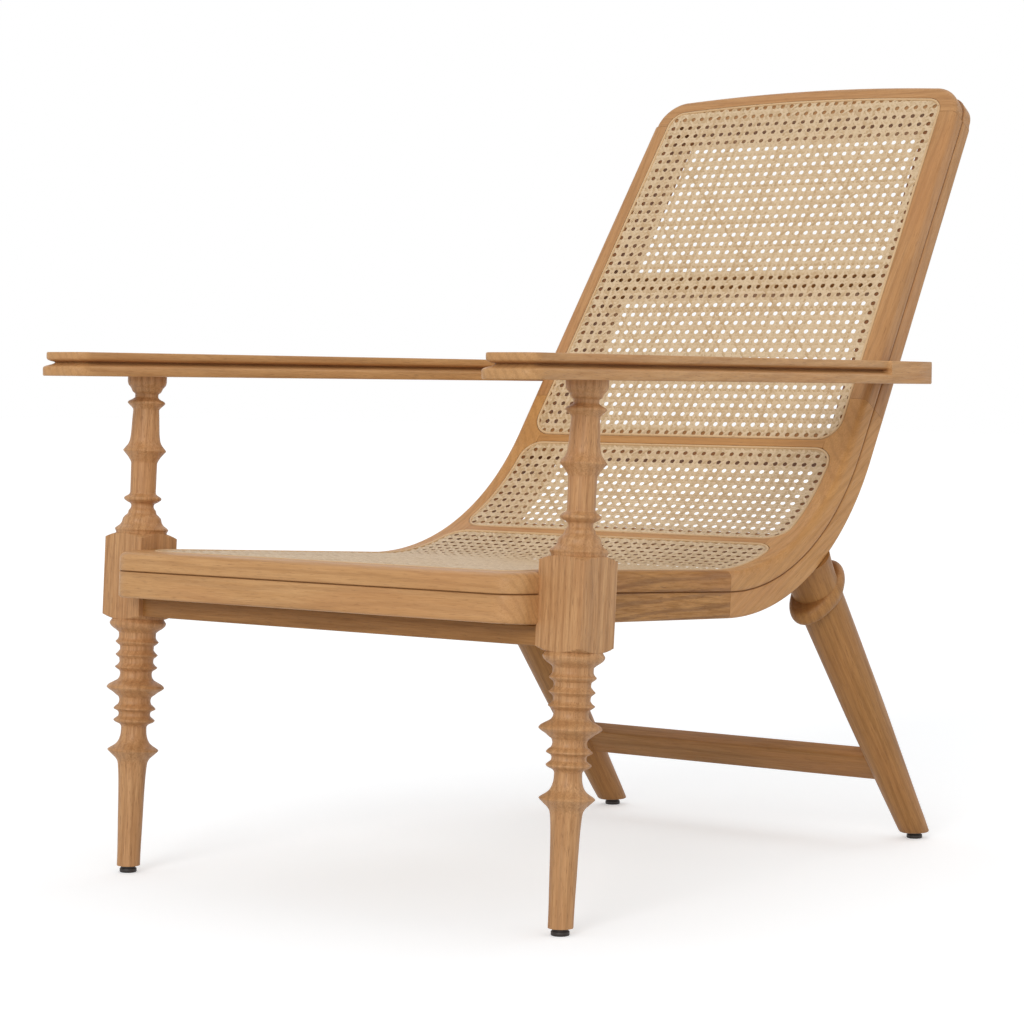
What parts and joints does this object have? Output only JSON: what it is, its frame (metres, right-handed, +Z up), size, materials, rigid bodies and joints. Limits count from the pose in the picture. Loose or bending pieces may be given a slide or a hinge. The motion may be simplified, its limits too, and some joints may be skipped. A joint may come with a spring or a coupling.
{
  "type": "planters chair",
  "caption": "Low reclining lounge chair with a caned one-piece seat and back shell, turned front legs, long flat arms and splayed rear legs.",
  "frame": {"origin": "on the floor, under the middle of the chair's bounding box", "axes": "+Z up; the sitter faces -Y, so the rear legs are towards +Y; +X is the sitter's left"},
  "size_m": [0.6864, 1.055, 0.9263],
  "materials": {
    "oak_frame": "matte clear finish over straight-grained natural oak",
    "oak_curved": "matte clear finish, grain crossing the bent rails at a slant",
    "oak_turned": "matte clear finish over turned oak",
    "beech_dowel": "bare",
    "woven_cane": "woven rattan strands, slightly glossy",
    "reed_spline": "smooth rattan reed",
    "steel": "zinc plated",
    "glide": "matte dark brown"
  },
  "bodies": {
    "root": {"upper_front_rail": "oak_frame", "upper_top_rail": "oak_frame", "upper_seat_rail_left": "oak_frame", "upper_seat_rail_right": "oak_frame", "upper_back_rail_left": "oak_frame", "upper_back_rail_right": "oak_frame", "lower_front_rail": "oak_frame", "lower_top_rail": "oak_frame", "lower_seat_rail_left": "oak_frame", "lower_seat_rail_right": "oak_frame", "lower_back_rail_left": "oak_frame", "lower_back_rail_right": "oak_frame", "back_cross_rail": "oak_frame", "front_bearer": "oak_frame", "arm_left": "oak_frame", "arm_right": "oak_frame", "rear_stretcher": "oak_frame", "rear_leg_left": "oak_frame", "rear_leg_right": "oak_frame", "upper_curve_rail_left": "oak_curved", "upper_curve_rail_right": "oak_curved", "lower_curve_rail_left": "oak_curved", "lower_curve_rail_right": "oak_curved", "seat_strap": "oak_curved", "lumbar_strap": "oak_curved", "front_leg_left": "oak_turned", "front_leg_right": "oak_turned", "front_leg_dowel_left": "beech_dowel", "front_leg_dowel_right": "beech_dowel", "arm_dowel_left": "beech_dowel", "arm_dowel_right": "beech_dowel", "cane_seat": "woven_cane", "cane_lumbar": "woven_cane", "cane_back": "woven_cane", "spline_seat": "reed_spline", "spline_lumbar": "reed_spline", "spline_back": "reed_spline", "rear_leg_bolt_left": "steel", "rear_leg_bolt_right": "steel", "front_glide_left": "glide", "front_glide_right": "glide", "rear_glide_left": "glide", "rear_glide_right": "glide"}
  },
  "joints": []
}
